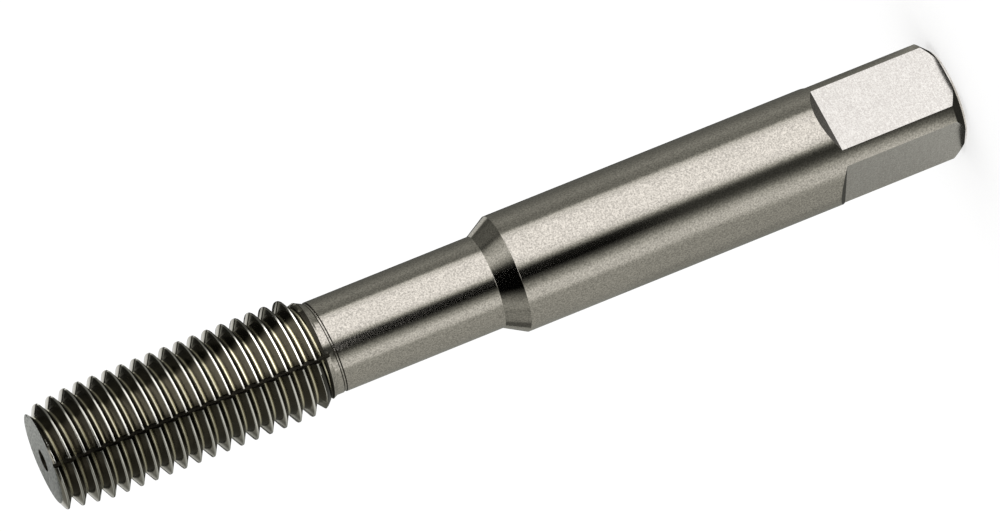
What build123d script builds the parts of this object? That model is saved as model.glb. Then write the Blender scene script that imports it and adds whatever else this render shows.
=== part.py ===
from build123d import *
from math import ceil, degrees, atan, cos, radians, tan
import os

# A fluteless thread-forming tap, ground in one piece from a bar of high-speed steel.
# It presses its thread into a drilled hole instead of cutting it. Millimetres.
# The origin is the centre of the square end's face. +Z runs along the axis to the
# threaded tip, so the tap stands on its square end.

# Lengths along the axis
overall_length = 80.0
thread_length = 24.0
thread_and_neck = 39.0         # from the tip to the end of the relieved neck
square_length = 11.0           # from the end face to where the flats stop

# Shank, neck and drive square
shank_diameter = 10.0
neck_diameter = 7.9
shoulder_half_angle = 30.0     # both cones that lead down to the neck
square_across_flats = 8.0
flat_runout_radius = 1.15      # left by the rim of the wheel past the end of each flat
end_chamfer = 1.05

# Thread form
thread_diameter = 9.7
pitch = 1.25
flank_half_angle = 30.0
crest_width = 0.10
root_width = 0.14
thread_angle = -31.5           # turns the whole helix about the axis

# Tapered lead threads that start the work
lead_length = 4.2
lead_drop = 0.55               # the form's fall in radius from full thread to tip
tip_chamfer = 0.15

# Oil grooves that run along the thread
oil_groove_count = 4
oil_groove_width = 0.35
oil_groove_depth = 1.15        # below the crests
oil_groove_runout = 1.6        # ramp out of the work at the neck
oil_groove_angle = -126.8      # of the first groove, about the axis from +X

# Centre holes that carried the bar while it was ground
tip_centre_mouth = 1.9
end_centre_mouth = 2.4
centre_drill_diameter = 0.8
centre_drill_depth = 2.6
centre_half_angle = 30.0

# Worked out from the sizes above
shank_radius = shank_diameter / 2
neck_radius = neck_diameter / 2
thread_radius = thread_diameter / 2
tip = overall_length
neck_start = tip - thread_and_neck
thread_end = tip - thread_length
lead_start = tip - lead_length
shoulder_slope = tan(radians(shoulder_half_angle))
flank_slope = tan(radians(flank_half_angle))
thread_height = (pitch - crest_width - root_width) / 2 / flank_slope
root_radius = thread_radius - thread_height
clear = 0.06                   # how far the thread's cutter stands out of the crests
beyond = 0.5                   # how far the other cutters stand clear of the bar


def turned(*points):
    """Revolve a closed outline of (radius, z) points about the axis."""
    return revolve(Plane.XZ * make_face(Polyline(*points, close=True)), Axis.Z)


def blank():
    """The bar as the cylindrical grinder leaves it, thread still uncut."""
    shank_top = neck_start - abs(shank_radius - neck_radius) / shoulder_slope
    thread_bottom = thread_end + abs(thread_radius - neck_radius) / shoulder_slope
    lead_radius = thread_radius - lead_drop
    return turned(
        (0, 0),
        (shank_radius - end_chamfer, 0),
        (shank_radius, end_chamfer),
        (shank_radius, shank_top),
        (neck_radius, neck_start),
        (neck_radius, thread_end),
        (thread_radius, thread_bottom),
        (thread_radius, lead_start),
        (lead_radius, tip - tip_chamfer),
        (lead_radius - tip_chamfer, tip),
        (0, tip),
    )


def centre_hole(mouth, z, inwards):
    """A conical seat with a short drilled relief; inwards is +1 or -1 along Z."""
    drill = centre_drill_diameter / 2
    cone_depth = (mouth / 2 - drill) / tan(radians(centre_half_angle))
    seat_end = z + inwards * cone_depth
    drill_end = z + inwards * max(centre_drill_depth, cone_depth + drill)
    return turned((0, z), (mouth / 2, z), (drill, seat_end), (drill, drill_end), (0, drill_end))


def flat_cutter():
    """What the grinding wheel takes off one side of the square, on the +X side."""
    inner = square_across_flats / 2
    outer = max(shank_radius, inner + flat_runout_radius) + beyond
    top = square_length + flat_runout_radius
    outline = Polyline((inner, -beyond), (outer, -beyond), (outer, top), (inner, top), close=True)
    cutter = extrude(Plane.XZ * make_face(outline), amount=outer, both=True)
    upper_edges = cutter.edges().filter_by(Axis.Y).sort_by(Axis.Z)[-2:]
    return fillet(upper_edges.sort_by(Axis.X)[0], flat_runout_radius)


def groove_turn(z, radius, fall):
    """One turn of the V groove, from z upwards; fall is its loss of radius on the way."""
    cone = -degrees(atan(fall / pitch))
    outer = radius + thread_height + clear
    mouth_half = (pitch - crest_width) / 2 + clear * flank_slope

    def rail(rail_radius, offset):
        centre = (0, 0, z + offset)
        return Helix(pitch / cos(radians(cone)), pitch, rail_radius, centre, cone_angle=cone)

    rails = [
        rail(radius, -root_width / 2),
        rail(outer, -mouth_half),
        rail(outer, mouth_half),
        rail(radius, root_width / 2),
    ]
    flanks = [Face.make_surface_from_curves(rails[i], rails[(i + 1) % 4]) for i in range(4)]
    ends = [make_face(Polyline(*[r @ where for r in rails], close=True)).face() for where in (0, 1)]
    return Rot(0, 0, thread_angle) * Solid(Shell(flanks + ends))


def thread(body):
    """Cut the right-hand thread turn by turn, parallel first and then down the lead."""
    full_turns = ceil((lead_start - thread_end) / pitch) + 1
    for turn in range(full_turns):
        body -= groove_turn(lead_start - (turn + 1) * pitch, root_radius, 0)
    fall = lead_drop * pitch / lead_length
    lead_turns = ceil(lead_length / pitch) + 1
    for turn in range(lead_turns):
        body -= groove_turn(lead_start + turn * pitch, root_radius - turn * fall, fall)
    return body


def oil_groove():
    """A narrow slot on the +X side that ramps out at the neck end of the thread."""
    floor = thread_radius - oil_groove_depth
    outer = thread_radius + beyond
    section = Plane.XZ * make_face(
        Polyline(
            (floor, tip + beyond),
            (floor, thread_end + oil_groove_runout),
            (max(floor, neck_radius), thread_end),
            (outer, thread_end),
            (outer, tip + beyond),
            close=True,
        )
    )
    return extrude(section, amount=oil_groove_width / 2, both=True)


tap = thread(blank())
for groove in range(oil_groove_count):
    tap -= Rot(0, 0, oil_groove_angle + groove * 360 / oil_groove_count) * oil_groove()
for side in range(4):
    tap -= Rot(0, 0, side * 90) * flat_cutter()
tap -= centre_hole(tip_centre_mouth, tip, -1)
tap -= centre_hole(end_centre_mouth, 0, 1)

os.makedirs("parts", exist_ok=True)
export_step(tap.solid(), "parts/thread_tap.step")
print("thread_tap", round(tap.volume, 1), "mm3")
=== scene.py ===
from math import atan2, ceil, cos, hypot, pi, radians, sin, tan

import bmesh
import bpy
from mathutils import Matrix, Vector


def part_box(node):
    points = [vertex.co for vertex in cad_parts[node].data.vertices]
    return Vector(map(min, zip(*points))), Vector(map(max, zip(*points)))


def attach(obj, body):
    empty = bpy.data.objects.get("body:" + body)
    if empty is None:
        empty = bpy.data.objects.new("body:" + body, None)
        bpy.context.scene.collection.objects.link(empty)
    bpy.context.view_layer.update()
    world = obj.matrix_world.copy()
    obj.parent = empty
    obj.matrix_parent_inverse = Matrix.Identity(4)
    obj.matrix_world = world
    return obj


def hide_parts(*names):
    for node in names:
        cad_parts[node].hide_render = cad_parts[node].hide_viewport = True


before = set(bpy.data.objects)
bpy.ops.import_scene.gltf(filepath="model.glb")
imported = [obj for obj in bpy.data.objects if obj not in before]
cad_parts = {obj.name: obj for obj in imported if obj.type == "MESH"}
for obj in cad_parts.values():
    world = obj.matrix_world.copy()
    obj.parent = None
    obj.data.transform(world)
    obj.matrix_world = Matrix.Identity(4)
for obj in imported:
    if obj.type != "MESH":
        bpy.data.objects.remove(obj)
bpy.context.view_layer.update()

# --- Threaded end ----------------------------------------------------------------
# The working end of the tap presses its V thread into a drilled hole. It is ground in
# one with the bar, of hardened high-speed steel, and tapers over the lead to the tip.
# The wheel leaves it through a cone and scratches the neck once more on its way out.
mm = 0.001                      # lengths are in metres
low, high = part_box("thread_tap")
tip = high.z                    # heights are measured from the square end's face
neck_radius = 3.95 * mm
thread_radius = 4.85 * mm
thread_depth = 0.875 * mm
root_radius = thread_radius - thread_depth
thread_end = tip - 24 * mm
thread_cone = radians(30)       # from the crests down to the neck
lead_length = 4.2 * mm
lead_drop = 0.55 * mm           # what the form loses in radius over the lead
tip_chamfer = 0.15 * mm

pitch = 1.25 * mm
crest_width = 0.15 * mm
root_width = 0.10 * mm
form_round = 0.06 * mm          # on every corner of the form
form_round_steps = 3
foot_share = 0.2                # of each flank, up to a step close to its root
crest_height = tip - 1.37 * mm  # of one crest, where it passes crest_azimuth
crest_azimuth = radians(-116.5)
turn_steps = 144

scratch_depth = 0.06 * mm
scratch_half_width = 0.15 * mm
scratch_length = 1.1 * mm       # of neck that it crosses below the thread
scratch_fade = 0.2 * mm         # of neck over which it dies out
scratch_shade_sides = (0.06 * mm, 0.14 * mm)    # its sides, painted dark as shade, off its middle

skin_start = thread_end + 0.35 * mm
painted_shade_stretch = 0.25 * mm          # of the skin's first stretch, all painted dark as shade
least_flank_lean = 0.3          # of a flank's normal along the axis
join_height = thread_end - 1.8 * pitch   # where the neck takes over
merge_form = 0.002 * mm
at_tip = 0.001 * mm

metals = []                     # the bar's finishes, in the order of their slots


class Finish:
    """One finish of the steel. Its methods add nodes to it and return an output."""

    def __init__(self, name, colour, roughness):
        self.slot = len(metals)
        self.material = bpy.data.materials.new(name)
        metals.append(self.material)
        self.material.use_nodes = True
        self.tree = self.material.node_tree
        self.shader = self.tree.nodes["Principled BSDF"]
        self.shader.inputs["Base Color"].default_value = (*colour, 1)
        self.shader.inputs["Metallic"].default_value = 1
        self.shader.inputs["Roughness"].default_value = roughness

    def feed(self, socket, value):
        if isinstance(value, bpy.types.NodeSocket):
            self.tree.links.new(value, socket)
        else:
            socket.default_value = value

    def node(self, kind, **inputs):
        made = self.tree.nodes.new(kind)
        for key, value in inputs.items():
            self.feed(made.inputs[key], value)
        return made

    def surface(self, colour, normal=None):
        """Lay a patterned colour on the steel, and an uneven normal where it has one."""
        self.feed(self.shader.inputs["Base Color"], colour)
        if normal is not None:
            self.feed(self.shader.inputs["Normal"], normal)

    def place(self):
        return self.node("ShaderNodeTexCoord").outputs["Object"]

    def noise(self, across, detail=2.0):
        """Noise between 0 and 1 with features about across = (x, y, z) metres wide."""
        scale = [1 / width for width in across]
        scaled = self.node("ShaderNodeMapping", Vector=self.place(), Scale=scale).outputs[0]
        return self.node("ShaderNodeTexNoise", Vector=scaled, Scale=1.0, Detail=detail).outputs[0]

    def spread(self, value, start, end, from_start=0.3, from_end=0.7):
        """Stretch the value's range from_start to from_end over start to end."""
        made = self.node("ShaderNodeMapRange", Value=value)
        made.inputs["From Min"].default_value = from_start
        made.inputs["From Max"].default_value = from_end
        made.inputs["To Min"].default_value = start
        made.inputs["To Max"].default_value = end
        return made.outputs[0]

    def mix(self, factor, first, second):
        made = self.node("ShaderNodeMix")
        made.data_type = "RGBA"
        self.feed(made.inputs[0], factor)
        self.feed(made.inputs[6], (*first, 1) if isinstance(first, tuple) else first)
        self.feed(made.inputs[7], (*second, 1) if isinstance(second, tuple) else second)
        return made.outputs[2]

    def bump(self, height, depth, normal=None):
        made = self.node("ShaderNodeBump", Height=height, Distance=depth)
        if normal is not None:
            self.feed(made.inputs["Normal"], normal)
        return made.outputs[0]


# The grain of cut steel is a light and dark mottle of its colour.
mottle_darker = 0.38            # share of the colour that the darkest spots lose
mottle_lighter = 0.28           # and that the lightest ones gain


def mottled(finish, colour, grain, contrast=1.0):
    darker = tuple(c * (1 - mottle_darker * contrast) for c in colour)
    lighter = tuple(min(1, c * (1 + mottle_lighter * contrast)) for c in colour)
    return finish.mix(finish.spread(grain, 0, 1), darker, lighter)


# Bright ground steel takes the first slot, so every new face is bare steel. Fine lines
# run round the bar where the wheel cut it.
steel_colour = (0.70, 0.655, 0.59)
steel_roughness = 0.10
steel_grain = (0.13 * mm,) * 3
steel_lines = (1.5 * mm, 1.5 * mm, 0.04 * mm)
pit_depth = 0.002 * mm
line_depth = 0.001 * mm
steel = Finish("ground_steel", steel_colour, steel_roughness)
grain = steel.noise(steel_grain)
pitted = steel.bump(grain, pit_depth)
lined = steel.bump(steel.noise(steel_lines), line_depth, pitted)
steel.surface(mottled(steel, steel_colour, grain), lined)

# A last tempering leaves a thin straw-brown skin on the ground thread. It is straw in
# the roots, rubbed bright on the crests and stained on the flanks. The flanks that face
# the square end get a copy with a much darker flank colour, which is painted shade.
root_colour = (0.68, 0.64, 0.48)
flank_colour = (0.45, 0.42, 0.345)
back_flank_shade_colour = (0.11, 0.105, 0.09)
crest_colour = (0.88, 0.86, 0.80)
skin_roughness = 0.13
skin_grain = (0.12 * mm,) * 3
crest_zone = (0.05 * mm, 0.02 * mm)      # below the crests: where rubbing starts, is full
root_zone = (0.02 * mm, 0.055 * mm)      # above the roots: where straw is full, ends
stain_size = (0.1 * mm,) * 3
stain_cover = 0.45
stain_shade = 0.35              # of the flank's colour that a stain leaves


def thread_skin(name, flank):
    """The skin, coloured by each point's height on the full thread's form."""
    skin = Finish(name, flank, skin_roughness)
    axes = skin.node("ShaderNodeSeparateXYZ", Vector=skin.place())
    across = skin.node("ShaderNodeCombineXYZ", X=axes.outputs[0], Y=axes.outputs[1])
    distance = skin.node("ShaderNodeVectorMath", Vector=across.outputs[0])
    distance.operation = "LENGTH"
    lead = skin.spread(axes.outputs[2], 0, lead_drop, tip - lead_length, tip)
    full_form = skin.node("ShaderNodeMath")
    full_form.operation = "ADD"
    skin.feed(full_form.inputs[0], distance.outputs["Value"])
    skin.feed(full_form.inputs[1], lead)
    height = full_form.outputs[0]
    on_crest = skin.spread(height, 0, 1, *(thread_radius - edge for edge in crest_zone))
    in_root = skin.spread(height, 1, 0, *(root_radius + edge for edge in root_zone))
    stain = skin.spread(skin.noise(stain_size), stain_cover, 0)
    stained = skin.mix(stain, flank, tuple(c * stain_shade for c in flank))
    colour = skin.mix(on_crest, skin.mix(in_root, stained, root_colour), crest_colour)
    skin.surface(colour, skin.bump(skin.noise(skin_grain), pit_depth))
    return skin


skin = thread_skin("thread_skin", flank_colour)
# A copy of the skin with painted shade on its flanks, for those that face the square end.
shaded_back_skin = thread_skin("thread_back_flank_painted_shade", back_flank_shade_colour)

# Scale stays in the narrow grooves and the holes, which the wheel doesn't polish; their
# dark colour is also painted shade. The same dark finish is painted as shade on the
# scratch's sides and on the first stretch of the thread's skin.
scale_and_shade_colour = (0.05, 0.045, 0.035)
scale_roughness = 0.5
scale_and_shade = Finish("scale_and_painted_shade", scale_and_shade_colour, scale_roughness)

# The tip's face is turned, not ground: mottled, with painted shade darkening one side.
face_colour = (0.7, 0.7, 0.66)
face_roughness = 0.42
bright_spots = (0.98, 1.0, 0.94)
middle_grey = (0.46, 0.48, 0.44)
shaded_spots = (0.12, 0.13, 0.12)
patch_size = (0.25 * mm,) * 3
patch_detail = 4.0
patch_edge = (0.38, 0.62)       # of the noise, from one shade to the other
shaded_side = (-0.895, 0.446, 0)
shade_zone = (-3 * mm, 2 * mm)   # along the shaded side: where the painted shade starts, is full
face = Finish("turned_end", face_colour, face_roughness)
patches = face.spread(face.noise(patch_size, patch_detail), 0, 1, *patch_edge)
towards_shade = face.node("ShaderNodeVectorMath", Vector=face.place())
towards_shade.operation = "DOT_PRODUCT"
towards_shade.inputs[1].default_value = shaded_side
tip_shade = face.spread(towards_shade.outputs["Value"], 0, 1, *shade_zone)
bright_part = face.mix(patches, middle_grey, bright_spots)
shaded_part = face.mix(patches, shaded_spots, middle_grey)
face.surface(face.mix(tip_shade, bright_part, shaded_part))

nearly_straight = radians(89)   # half the angle at a corner that needs no arc


def rounded(points, radius, steps):
    """The (radius, z) line with its inner corners turned into small arcs."""
    line = [Vector(p) for p in points]
    out = [line[0]]
    for before, corner, after in zip(line, line[1:], line[2:]):
        back, ahead = (before - corner).normalized(), (after - corner).normalized()
        half = back.angle(ahead) / 2
        if half > nearly_straight:
            out.append(corner)
            continue
        shorter = min((before - corner).length, (after - corner).length)
        reach = min(radius / tan(half), shorter / 3)
        start, end = corner + back * reach, corner + ahead * reach
        for i in range(steps + 1):
            w = i / steps
            out.append(start * (1 - w) ** 2 + corner * 2 * w * (1 - w) + end * w ** 2)
    out.append(line[-1])
    return out


def wire(bm, points):
    """Vertices and edges of an open (radius, z) line in the XZ plane."""
    verts = [bm.verts.new((p[0], 0, p[1])) for p in points]
    return verts + [bm.edges.new(pair) for pair in zip(verts, verts[1:])]


def all_of(bm):
    return bm.verts[:] + bm.edges[:] + bm.faces[:]


def saw_across(bm, height, **trim):
    bmesh.ops.bisect_plane(
        bm, geom=all_of(bm), plane_co=(0, 0, height), plane_no=(0, 0, 1), **trim
    )


def one_pitch():
    """The form from one root's middle to the next, as (radius, z)."""
    rise = (pitch - crest_width - root_width) / 2
    foot = (root_radius + thread_depth * foot_share, root_width / 2 + rise * foot_share)
    form = [
        (root_radius, 0),
        (root_radius, root_width / 4),
        (root_radius, root_width / 2),
        foot,
        (thread_radius, (pitch - crest_width) / 2),
        (thread_radius, (pitch + crest_width) / 2),
        (foot[0], pitch - foot[1]),
        (root_radius, pitch - root_width / 2),
        (root_radius, pitch - root_width / 4),
        (root_radius, pitch),
    ]
    return rounded(form, form_round, form_round_steps)


def off_root_line(point):
    """Height of a point off the root's middle line, along the axis."""
    rise = (point.z - first_root) / pitch - atan2(point.y, point.x) / (2 * pi)
    return (rise - round(rise)) * pitch


def shaped_radius(z, radius, off_root):
    """The radius at which a point of the full thread ends up."""
    radius -= lead_drop * max(0, (z - tip + lead_length) / lead_length)
    chamfer = thread_radius - lead_drop - tip_chamfer + (tip - z)
    if z >= thread_end + pitch:
        return min(radius, chamfer)
    cone = neck_radius + (z - thread_end) * tan(thread_cone)
    fade = min(1, max(0, (z - thread_end + scratch_length) / scratch_fade))
    side = (scratch_half_width - abs(off_root)) / (scratch_half_width - root_width / 2)
    scratch = fade * scratch_depth * min(1, max(0, side))
    return max(min(radius, cone, chamfer), neck_radius - scratch)


# One pitch of the form is spun upwards for a turn, and the turns are stacked.
crest_at_zero = crest_height - crest_azimuth / (2 * pi) * pitch
first_root = crest_at_zero - pitch / 2
first_root -= ceil((first_root - join_height) / pitch + 1) * pitch
turns = ceil((tip - join_height) / pitch) + 2
bar = bmesh.new()
bmesh.ops.spin(
    bar,
    geom=wire(bar, [(r, z + first_root) for r, z in one_pitch()]),
    cent=(0, 0, 0),
    axis=(0, 0, 1),
    dvec=(0, 0, pitch / turn_steps),
    angle=2 * pi,
    steps=turn_steps,
)
first_turn = all_of(bar)
for turn in range(1, turns):
    copied = bmesh.ops.duplicate(bar, geom=first_turn)["geom"]
    moved = [g for g in copied if isinstance(g, bmesh.types.BMVert)]
    bmesh.ops.translate(bar, verts=moved, vec=(0, 0, turn * pitch))
bmesh.ops.remove_doubles(bar, verts=bar.verts, dist=merge_form)

# The lead, the thread's end and the scratch are moves of each point's radius.
for v in bar.verts:
    radius = hypot(v.co.x, v.co.y)
    v.co.xy *= shaped_radius(v.co.z, radius, off_root_line(v.co)) / radius
saw_across(bar, tip, clear_outer=True)
saw_across(bar, join_height, clear_inner=True)
saw_across(bar, skin_start)

# The form is still open, so its normals may all point inwards: outwards is then below 0.
bmesh.ops.recalc_face_normals(bar, faces=bar.faces)
outwards = sum(f.normal.dot(Vector((*f.calc_center_median().xy, 0))) for f in bar.faces)
for f in bar.faces:
    centre = f.calc_center_median()
    if centre.z > skin_start + painted_shade_stretch:
        # Flanks that face the square end take the copy with painted shade.
        takes_painted_shade = f.normal.z * outwards < 0 and abs(f.normal.z) > least_flank_lean
        f.material_index = shaded_back_skin.slot if takes_painted_shade else skin.slot
    # The first stretch of skin over the thread's run-out is painted dark as shade.
    elif centre.z > skin_start:
        f.material_index = scale_and_shade.slot
    # The scratch's sides on the neck are painted dark as shade.
    elif 0 < centre.z - thread_end + scratch_length < scratch_length:
        on_shaded_side = scratch_shade_sides[0] < abs(off_root_line(centre)) < scratch_shade_sides[1]
        f.material_index = scale_and_shade.slot if on_shaded_side else steel.slot
rim = [e for e in bar.edges if e.is_boundary and min(v.co.z for v in e.verts) > tip - at_tip]
for f in bmesh.ops.contextual_create(bar, geom=rim)["faces"]:
    f.material_index = face.slot

# --- Neck, shank and end face ----------------------------------------------------
# The plain part of the same steel bar, ground to one outline: a relieved neck that
# clears the hole, a cone up to the full shank for the holder, and a chamfered end. It
# is spun here down to the end face and bridged to the lowest turn of the form.
shank_radius = (high.x - low.x) / 2
neck_start = tip - 38.78 * mm
shoulder = radians(30)
end_chamfer = 1.05 * mm
edge_round = 0.12 * mm
edge_round_steps = 4
bar_steps = 240
join_gap = 0.3 * mm
merge_points = 0.0005 * mm


def lathe(bm, points, steps):
    """Spin an open (radius, z) line about the axis; returns the new faces."""
    before = set(bm.faces)
    bmesh.ops.spin(
        bm,
        geom=wire(bm, points),
        cent=(0, 0, 0),
        axis=(0, 0, 1),
        angle=2 * pi,
        steps=steps,
        use_merge=True,
    )
    return [f for f in bm.faces if f not in before]


outline = [
    (neck_radius, join_height - join_gap),
    (neck_radius, neck_start),
    (shank_radius, neck_start - (shank_radius - neck_radius) / tan(shoulder)),
    (shank_radius, end_chamfer),
    (shank_radius - end_chamfer, 0),
    (0, 0),
]
lathe(bar, rounded(outline, edge_round, edge_round_steps), bar_steps)
bmesh.ops.remove_doubles(bar, verts=bar.verts, dist=merge_points)
bmesh.ops.bridge_loops(bar, edges=[e for e in bar.edges if e.is_boundary])

# --- Square, oil grooves and centre holes ----------------------------------------
# Ground and drilled into the bar: four flats that drive the tap, narrow grooves that
# carry oil along the thread, and the holes that held the bar between centres. One set
# of cutters takes them all out of it.
half_flats = 4.0 * mm
square_length = 10.9 * mm
flat_half_width = 0.7 * shank_radius     # of the cutter, a little wider than the flat
runout_slope = 0.9              # along the bar for each step outwards
least_runout_lean = 0.1         # of the run-out's normal along the axis
oil_grooves = 4
oil_width = 0.35 * mm
oil_depth = 1.15 * mm           # below the crests
oil_runout = 1.6 * mm           # ramp out of the work at the neck
oil_azimuth = radians(-126.8)   # of the first groove
tip_mouth = 0.95 * mm           # radius of the hole in the tip
end_mouth = 1.2 * mm            # and of the one in the square end
centre_half_angle = radians(30)
drill_radius = 0.4 * mm
drill_depth = 2.6 * mm
hole_steps = 64
beyond = 0.5 * mm               # how far the cutters stand clear of the bar
sharp_edge = radians(30)        # an angle from which an edge isn't shaded smooth

# The flats carry the wheel's straight lines across the bar.
flat_colour = (0.88, 0.83, 0.79)
flat_roughness = 0.20
flat_grain = (0.12 * mm,) * 3
flat_contrast = 0.6             # of its mottle
flat_pit_depth = 0.001 * mm
flat_lines = (1.5 * mm, 1.5 * mm, 0.08 * mm)
flat_line_depth = 0.002 * mm
flat_line_colour = (0.55, 0.52, 0.49)
flat_line_cover = 0.3
flat = Finish("flat_steel", flat_colour, flat_roughness)
grain = flat.noise(flat_grain)
lines = flat.noise(flat_lines)
plain = mottled(flat, flat_colour, grain, flat_contrast)
pitted = flat.bump(grain, flat_pit_depth)
flat.surface(
    flat.mix(flat.spread(lines, 0, flat_line_cover), plain, flat_line_colour),
    flat.bump(lines, flat_line_depth, pitted),
)

# The rim of the wheel leaves a dull ramp at the end of each flat, painted dark as shade.
runout_shade_colour = (0.09, 0.085, 0.075)
runout_roughness = 0.45
runout_grain = (0.15 * mm,) * 3
runout_shade = Finish("flat_runout_painted_shade", runout_shade_colour, runout_roughness)
grain = runout_shade.noise(runout_grain)
runout_shade.surface(mottled(runout_shade, runout_shade_colour, grain), runout_shade.bump(grain, pit_depth))


def prism(bm, outline, half_width, azimuth, finish):
    """Push an (x, z) outline both ways along Y and turn it about the axis."""
    verts = [bm.verts.new((x, -half_width, z)) for x, z in outline]
    pushed = bmesh.ops.extrude_face_region(bm, geom=[bm.faces.new(verts)])["geom"]
    moved = [g for g in pushed if isinstance(g, bmesh.types.BMVert)]
    bmesh.ops.translate(bm, verts=moved, vec=(0, 2 * half_width, 0))
    turned = verts + moved
    about_axis = Matrix.Rotation(azimuth, 3, "Z")
    bmesh.ops.rotate(bm, verts=turned, cent=(0, 0, 0), matrix=about_axis)
    for f in {f for v in turned for f in v.link_faces}:
        f.material_index = finish.slot


def centre_hole(bm, mouth, z, inwards):
    """A conical seat with a drilled relief; inwards is +1 or -1 along the axis."""
    seat_depth = (mouth - drill_radius) / tan(centre_half_angle)
    points = [
        (0, z - inwards * beyond),
        (mouth + beyond * tan(centre_half_angle), z - inwards * beyond),
        (drill_radius, z + inwards * seat_depth),
        (drill_radius, z + inwards * drill_depth),
        (0, z + inwards * drill_depth),
    ]
    # The hole's dark finish is scale and painted shade.
    for f in lathe(bm, points, hole_steps):
        f.material_index = scale_and_shade.slot


def make_object(name, bm, materials):
    bmesh.ops.recalc_face_normals(bm, faces=bm.faces)
    mesh = bpy.data.meshes.new(name)
    bm.to_mesh(mesh)
    bm.free()
    for material in materials:
        mesh.materials.append(material)
    obj = bpy.data.objects.new(name, mesh)
    bpy.context.scene.collection.objects.link(obj)
    return obj


outer = shank_radius + beyond
flat_outline = [
    (half_flats, -beyond),
    (outer, -beyond),
    (outer, square_length + (outer - half_flats) * runout_slope),
    (half_flats, square_length),
]
groove_floor = thread_radius - oil_depth
groove_outline = [
    (groove_floor, tip + beyond),
    (groove_floor, thread_end + oil_runout),
    (neck_radius, thread_end),
    (outer, thread_end),
    (outer, tip + beyond),
]
cuts = bmesh.new()
for side in range(4):
    prism(cuts, flat_outline, flat_half_width, radians(90 * side), flat)
# The run-out ramps take the finish that is painted dark as shade.
for f in cuts.faces:
    if abs(f.normal.z) > least_runout_lean and f.calc_center_median().z > square_length:
        f.material_index = runout_shade.slot
for groove in range(oil_grooves):
    azimuth = oil_azimuth + groove * 2 * pi / oil_grooves
    # The groove's dark finish is scale and painted shade.
    prism(cuts, groove_outline, oil_width / 2, azimuth, scale_and_shade)
centre_hole(cuts, tip_mouth, tip, -1)
centre_hole(cuts, end_mouth, 0, 1)
bmesh.ops.remove_doubles(cuts, verts=cuts.verts, dist=merge_points)

tap = make_object("tap", bar, metals)
cutters = make_object("cutters", cuts, metals)
cut = tap.modifiers.new("cuts", "BOOLEAN")
cut.object = cutters
cut.solver = "EXACT"
cut.material_mode = "INDEX"
evaluated = tap.evaluated_get(bpy.context.evaluated_depsgraph_get())
finished = bpy.data.meshes.new_from_object(evaluated)
tap.modifiers.remove(cut)
bpy.data.objects.remove(cutters)
tap.data = finished
finished.shade_smooth()
finished.set_sharp_from_angle(angle=sharp_edge)

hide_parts("thread_tap")
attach(tap, "root")

# --- Camera ----------------------------------------------------------------------
# A long lens looks down a little on the standing tap, and is rolled until the tap lies
# across the frame with its threaded end low on the left.
scene = bpy.context.scene
view_azimuth = radians(-116.5)
view_tilt = radians(11.6)
view_distance = 0.805
axis_slope = radians(21.96)     # of the bar across the frame
aim_height = tip - 39.25 * mm
aim_x, aim_y = 490.54, 280.17   # where the aim falls in the frame, in its pixels
frame_width, frame_height = 1000, 532

camera_data = bpy.data.cameras.new("camera")
camera_data.lens = 360
camera_data.sensor_width = 36
camera_data.clip_end = 10
camera_data.shift_x = (frame_width / 2 - aim_x) / frame_width
camera_data.shift_y = (aim_y - frame_height / 2) / frame_width
camera = bpy.data.objects.new("camera", camera_data)
scene.collection.objects.link(camera)
scene.camera = camera
level_part = cos(view_tilt)
to_camera = Vector(
    (cos(view_azimuth) * level_part, sin(view_azimuth) * level_part, sin(view_tilt))
)
camera.location = Vector((0, 0, aim_height)) + to_camera * view_distance
upright = (-to_camera).to_track_quat("-Z", "Y").to_matrix()
roll = Matrix.Rotation(-(pi / 2 + axis_slope), 3, "Z")
camera.rotation_euler = (upright @ roll).to_euler()

# --- Light tent ------------------------------------------------------------------
# The tap stands in a tent of grey and white cloth, which only its metal reflects. Each
# band is a strip turned about the axis, lit by stops of (azimuth, level): the azimuth is
# in degrees from the camera's own and grows clockwise as seen from above.
tent_radius = 150 * mm
tent_floor = 0.2 * mm
band_step = 2                   # degrees
cloth_tint = (0.98, 1.0, 0.90, 1)        # of the dark cloth; the brightest is white

tent_cloth = bpy.data.materials.new("tent_glow")
tent_cloth.use_nodes = True
cloth_tree = tent_cloth.node_tree
cloth_tree.nodes.remove(cloth_tree.nodes["Principled BSDF"])
shine = cloth_tree.nodes.new("ShaderNodeEmission")
cloth_level = cloth_tree.nodes.new("ShaderNodeAttribute")
cloth_level.attribute_name = "level"
tint = cloth_tree.nodes.new("ShaderNodeMix")
tint.data_type = "RGBA"
tint.inputs[6].default_value = cloth_tint
tint.inputs[7].default_value = (1, 1, 1, 1)
cloth_tree.links.new(cloth_level.outputs["Fac"], tint.inputs[0])
cloth_tree.links.new(cloth_level.outputs["Fac"], shine.inputs["Strength"])
cloth_tree.links.new(tint.outputs[2], shine.inputs["Color"])
cloth_output = cloth_tree.nodes["Material Output"]
cloth_tree.links.new(shine.outputs[0], cloth_output.inputs["Surface"])


def level_at(azimuth, stops):
    """The level at an azimuth, in line between the stops on both sides of it."""
    level = stops[-1][1]
    for (start, start_level), (end, end_level) in zip(stops, stops[1:]):
        if start <= azimuth <= end:
            share = (azimuth - start) / (end - start)
            level = start_level + (end_level - start_level) * share
    return level


def tent_band(name, near, far, stops):
    """A strip from near to far, both (radius, z), spun clockwise from behind the tap."""
    bm = bmesh.new()
    level = bm.verts.layers.float.new("level")
    rail = wire(bm, (near, far))
    behind = Matrix.Rotation(view_azimuth + pi, 3, "Z")
    bmesh.ops.rotate(bm, verts=bm.verts, cent=(0, 0, 0), matrix=behind)
    bmesh.ops.spin(
        bm, geom=rail, cent=(0, 0, 0), axis=(0, 0, 1), angle=-2 * pi, steps=360 // band_step
    )
    for i, v in enumerate(bm.verts):    # two to a step, in the order of the spin
        v[level] = level_at(-180 + i // 2 * band_step, stops)
    band = make_object(name, bm, [tent_cloth])
    band.visible_camera = band.visible_diffuse = False
    band.visible_shadow = band.visible_transmission = False


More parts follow.
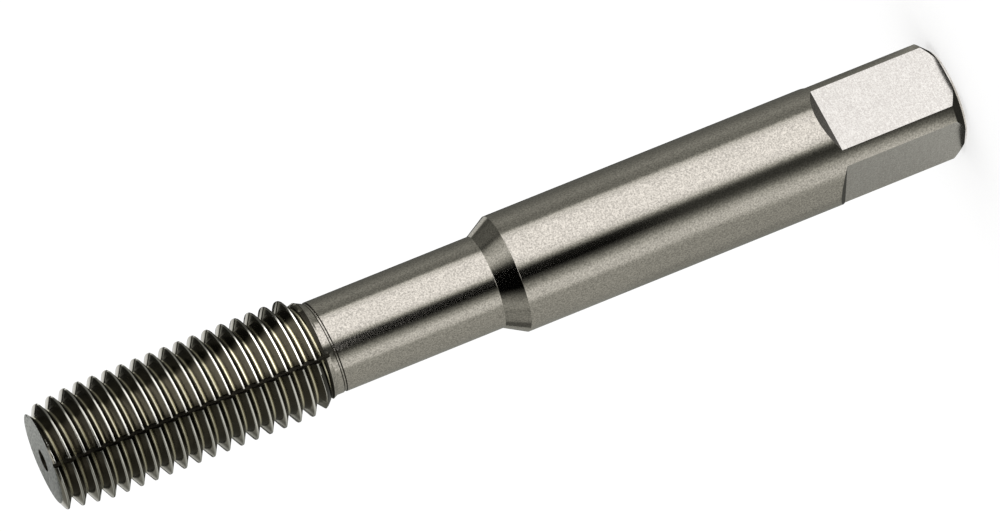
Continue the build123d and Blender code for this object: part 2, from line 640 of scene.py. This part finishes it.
floor_stops = [
    (-180, 0.04), (-160, 0.11), (-132, 0.15), (-104, 0.27), (-86, 0.20), (-78, 0.22),
    (-71, 0.75), (-58, 1.04), (-22, 1.08), (-9, 0.87), (-1, 0.24), (3, 0.08), (8, 0.04),
    (16, 0.05), (22, 0.10), (27, 0.19), (37, 0.48), (46, 0.64), (58, 0.62), (68, 0.38),
    (76, 0.34), (112, 0.33), (124, 0.27), (180, 0.20),
]
low_stops = [
    (-180, 0.04), (-160, 0.11), (-132, 0.15), (-104, 0.26), (-86, 0.19), (-78, 0.20),
    (-72, 0.75), (-58, 1.04), (-22, 1.08), (-9, 0.87), (-1, 0.20), (4, 0.01), (19, 0.0),
    (26, 0.08), (36, 0.33), (48, 0.68), (62, 0.66), (71, 0.36), (110, 0.34), (180, 0.24),
]
wall_stops = [
    (-180, 0.50), (-146, 0.48), (-138, 0.10), (-110, 0.16), (-88, 0.18), (-79, 0.20),
    (-71, 0.85), (-58, 1.06), (8, 1.04), (18, 0.85), (22, 0.08), (36, 0.34), (48, 0.56),
    (62, 0.52), (75, 0.42), (110, 0.36), (180, 0.24),
]
upper_stops = [
    (-180, 0.80), (-146, 0.75), (-138, 0.08), (-100, 0.08), (-78, 0.20), (-71, 0.85),
    (-58, 1.0), (0, 0.9), (20, 0.1), (110, 0.1), (180, 0.08),
]
back_stops = [
    (-180, 1.05), (-166, 0.9), (-158, 0.2), (-140, 0.1), (-79, 0.12), (-71, 0.5),
    (-58, 0.6), (-10, 0.3), (0, 0.05), (36, 0.05), (60, 0.2), (110, 0.25), (160, 0.15),
    (170, 0.7), (180, 1.05),
]
shoulder_stops = [
    (-180, 0.02), (-92, 0.02), (-84, 0.08), (-69, 0.40), (-48, 0.60), (-37, 0.50),
    (-28, 0.30), (-17, 0.04), (-8, 0.0), (40, 0.0), (48, 0.04), (66, 0.24), (76, 0.30),
    (100, 0.31), (140, 0.32), (180, 0.20),
]
black_stops = [(-180, 0.03), (180, 0.03)]
crown_stops = [(-180, 0.9), (180, 0.9)]
floor_start = (5.2 * mm, tent_floor)
floor_end = (tent_radius, tent_floor)
wall_bottom = (tent_radius, 33 * mm)     # this wall gives the lines on crests and roots
wall_top = (tent_radius, 56 * mm)
back_bottom = (tent_radius, 80 * mm)
back_top = (tent_radius, 125 * mm)
shoulder_top = (75 * mm, 200 * mm)
crown_start = (34 * mm, 222 * mm)
crown_top = (0.5 * mm, 240 * mm)
tent_band("tent_foot", (0.5 * mm, tent_floor), floor_start, black_stops)
tent_band("tent_floor", floor_start, floor_end, floor_stops)
tent_band("tent_low_wall", floor_end, wall_bottom, low_stops)
tent_band("tent_wall", wall_bottom, wall_top, wall_stops)
tent_band("tent_upper_wall", wall_top, back_bottom, upper_stops)
tent_band("tent_back", back_bottom, back_top, back_stops)
tent_band("tent_shoulder", back_top, shoulder_top, shoulder_stops)
tent_band("tent_top", shoulder_top, crown_start, black_stops)
tent_band("tent_crown", crown_start, crown_top, crown_stops)

# A small collar under the thread lights the flanks that face the tip, and a little the
# crests and roots of the lowest turns.
collar_height = thread_end + 0.5 * mm
collar_stops = [
    (-180, 0.03), (-84, 0.05), (-74, 0.8), (-64, 2.6), (-20, 2.8), (0, 2.4), (12, 0.6),
    (24, 0.3), (40, 0.6), (90, 0.55), (140, 0.2), (180, 0.05),
]
collar_start = (6 * mm, collar_height)
rim_start = (15 * mm, collar_height)
rim_end = (19.5 * mm, collar_height + 5 * mm)
tent_band("collar", collar_start, rim_start, collar_stops)
tent_band("collar_rim", rim_start, rim_end, collar_stops)

# --- Floor and white surroundings ------------------------------------------------
# A plain floor carries the tap. It is white to the eye and in the metal, and keeps a
# soft shadow where the tap stands. White surroundings give the plain light.
floor_half_side = 3
floor_grey = (0.5, 0.5, 0.5, 1)
floor_shine = 0.55              # brings the lit grey up to white
bm = bmesh.new()
bmesh.ops.create_grid(bm, x_segments=1, y_segments=1, size=floor_half_side)
white = bpy.data.materials.new("white_floor")
white.use_nodes = True
floor_tree = white.node_tree
shader = floor_tree.nodes["Principled BSDF"]
shader.inputs["Base Color"].default_value = floor_grey
shader.inputs["Roughness"].default_value = 1
shader.inputs["Specular IOR Level"].default_value = 0
shader.inputs["Emission Color"].default_value = (1, 1, 1, 1)
rays = floor_tree.nodes.new("ShaderNodeLightPath")
seen = rays.outputs["Is Camera Ray"]
for kind in ("Is Glossy Ray", "Is Transmission Ray"):
    either = floor_tree.nodes.new("ShaderNodeMath")
    either.operation = "MAXIMUM"
    floor_tree.links.new(seen, either.inputs[0])
    floor_tree.links.new(rays.outputs[kind], either.inputs[1])
    seen = either.outputs[0]
lift = floor_tree.nodes.new("ShaderNodeMath")
lift.operation = "MULTIPLY"
floor_tree.links.new(seen, lift.inputs[0])
lift.inputs[1].default_value = floor_shine
floor_tree.links.new(lift.outputs[0], shader.inputs["Emission Strength"])
floor = make_object("floor", bm, [white])

world = bpy.data.worlds.new("studio")
world.use_nodes = True
world.node_tree.nodes["Background"].inputs["Color"].default_value = (1, 1, 1, 1)
scene.world = world
scene.view_settings.view_transform = "Standard"
